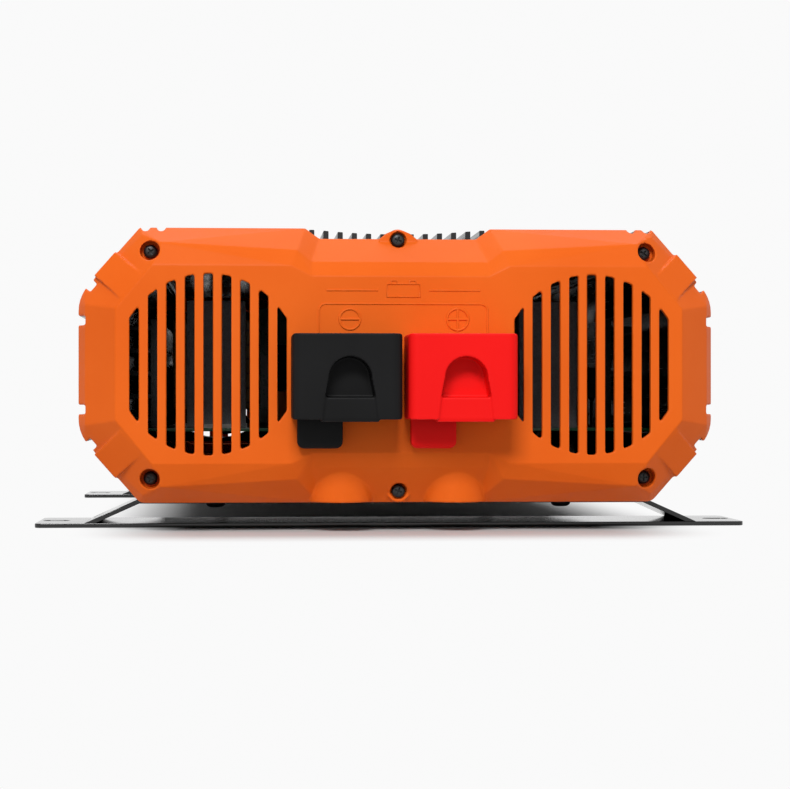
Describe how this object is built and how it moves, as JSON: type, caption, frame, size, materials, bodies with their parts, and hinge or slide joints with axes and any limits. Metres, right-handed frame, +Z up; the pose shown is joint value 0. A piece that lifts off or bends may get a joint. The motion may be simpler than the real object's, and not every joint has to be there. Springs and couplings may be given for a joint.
{
  "type": "power inverter",
  "caption": "Low eight-sided power inverter: finned black shell, orange end caps with round slotted grilles, covered battery terminals, two flat mounting brackets.",
  "frame": {"origin": "centre of the four foot slots, on the underside of the foot bars (the floor)", "axes": "+Z up, -Y towards the battery end with the two covered terminals, +Y towards the outlet end, +X to the right when the battery end is looked at"},
  "size_m": [0.3214, 0.4622, 0.1321],
  "materials": {
    "orange_plastic": "satin moulded",
    "black_aluminium": "black anodised, extruded",
    "gasket_rubber": "matte",
    "black_screw": "black oxide",
    "black_steel": "gloss black powder coat",
    "black_plastic": "satin",
    "red_plastic": "satin",
    "brass": "turned",
    "zinc_steel": "zinc plated",
    "copper": "plain copper",
    "circuit_board": "solder mask",
    "ferrite": "sintered ferrite",
    "winding_tape": "polyester tape",
    "plain_aluminium": "mill finish",
    "component_black": "moulded epoxy",
    "capacitor_sleeve": "shrink sleeve",
    "fuse_plastic": "clear tinted",
    "fan_plastic": "glass filled",
    "rocker_plastic": "polished",
    "white_plastic": "satin",
    "display_lens": "polished window",
    "grey_plastic": "satin",
    "usb_steel": "nickel plated"
  },
  "bodies": {
    "housing": {"front_end_cap": "orange_plastic", "rear_end_cap": "orange_plastic", "body_shell": "black_aluminium", "front_gasket": "gasket_rubber", "rear_gasket": "gasket_rubber", "front_cap_screws": "black_screw", "rear_cap_screws": "black_screw", "front_foot_bar": "black_steel", "rear_foot_bar": "black_steel", "front_saddle": "black_steel", "rear_saddle": "black_steel", "saddle_screws": "black_screw", "negative_terminal_base": "black_plastic", "positive_terminal_base": "red_plastic", "terminal_studs": "brass", "terminal_washers": "zinc_steel", "terminal_nuts": "zinc_steel", "dc_busbars": "copper", "main_board": "circuit_board", "transformer_cores": "ferrite", "transformer_coils": "winding_tape", "heat_sinks": "plain_aluminium", "power_transistors": "component_black", "input_capacitors": "capacitor_sleeve", "bus_capacitors": "capacitor_sleeve", "output_choke": "winding_tape", "blade_fuses": "fuse_plastic", "control_board": "circuit_board", "left_fan_frame": "black_plastic", "right_fan_frame": "black_plastic", "fan_screws": "zinc_steel", "ac_outlets": "black_plastic", "outlet_contacts": "brass", "switch_frame": "black_plastic", "breaker_body": "black_plastic", "display_bezel": "black_plastic", "display_lens": "display_lens", "usb_port": "usb_steel", "ground_stud": "brass", "ground_nut": "zinc_steel"},
    "left_fan": {"left_fan_rotor": "fan_plastic"},
    "right_fan": {"right_fan_rotor": "fan_plastic"},
    "negative_cover": {"negative_terminal_cover": "black_plastic"},
    "positive_cover": {"positive_terminal_cover": "red_plastic"},
    "power_rocker": {"switch_rocker": "rocker_plastic"},
    "reset_button": {"breaker_button": "white_plastic"},
    "display_key": {"display_button": "grey_plastic"}
  },
  "joints": [
    {"name": "left_fan_spin", "type": "hinge", "parent": "housing", "child": "left_fan", "pos_m": [-0.0824, 0.185, 0.0723], "axis": [0, 1, 0], "continuous": true},
    {"name": "right_fan_spin", "type": "hinge", "parent": "housing", "child": "right_fan", "pos_m": [0.0824, 0.185, 0.0723], "axis": [0, 1, 0], "continuous": true},
    {"name": "negative_cover_pull", "type": "slide", "parent": "housing", "child": "negative_cover", "axis": [0, -1, 0], "range_m": [0, 0.04]},
    {"name": "positive_cover_pull", "type": "slide", "parent": "housing", "child": "positive_cover", "axis": [0, -1, 0], "range_m": [0, 0.04]},
    {"name": "power_rocker_tilt", "type": "hinge", "parent": "housing", "child": "power_rocker", "pos_m": [0.022, 0.207, 0.0438], "axis": [-1, 0, 0], "range_deg": [0, 14]},
    {"name": "breaker_reset_travel", "type": "slide", "parent": "housing", "child": "reset_button", "axis": [0, -1, 0], "range_m": [0, 0.002], "stiffness_N_per_m": 300},
    {"name": "display_key_travel", "type": "slide", "parent": "housing", "child": "display_key", "axis": [0, -1, 0], "range_m": [0, 0.001], "stiffness_N_per_m": 300}
  ]
}
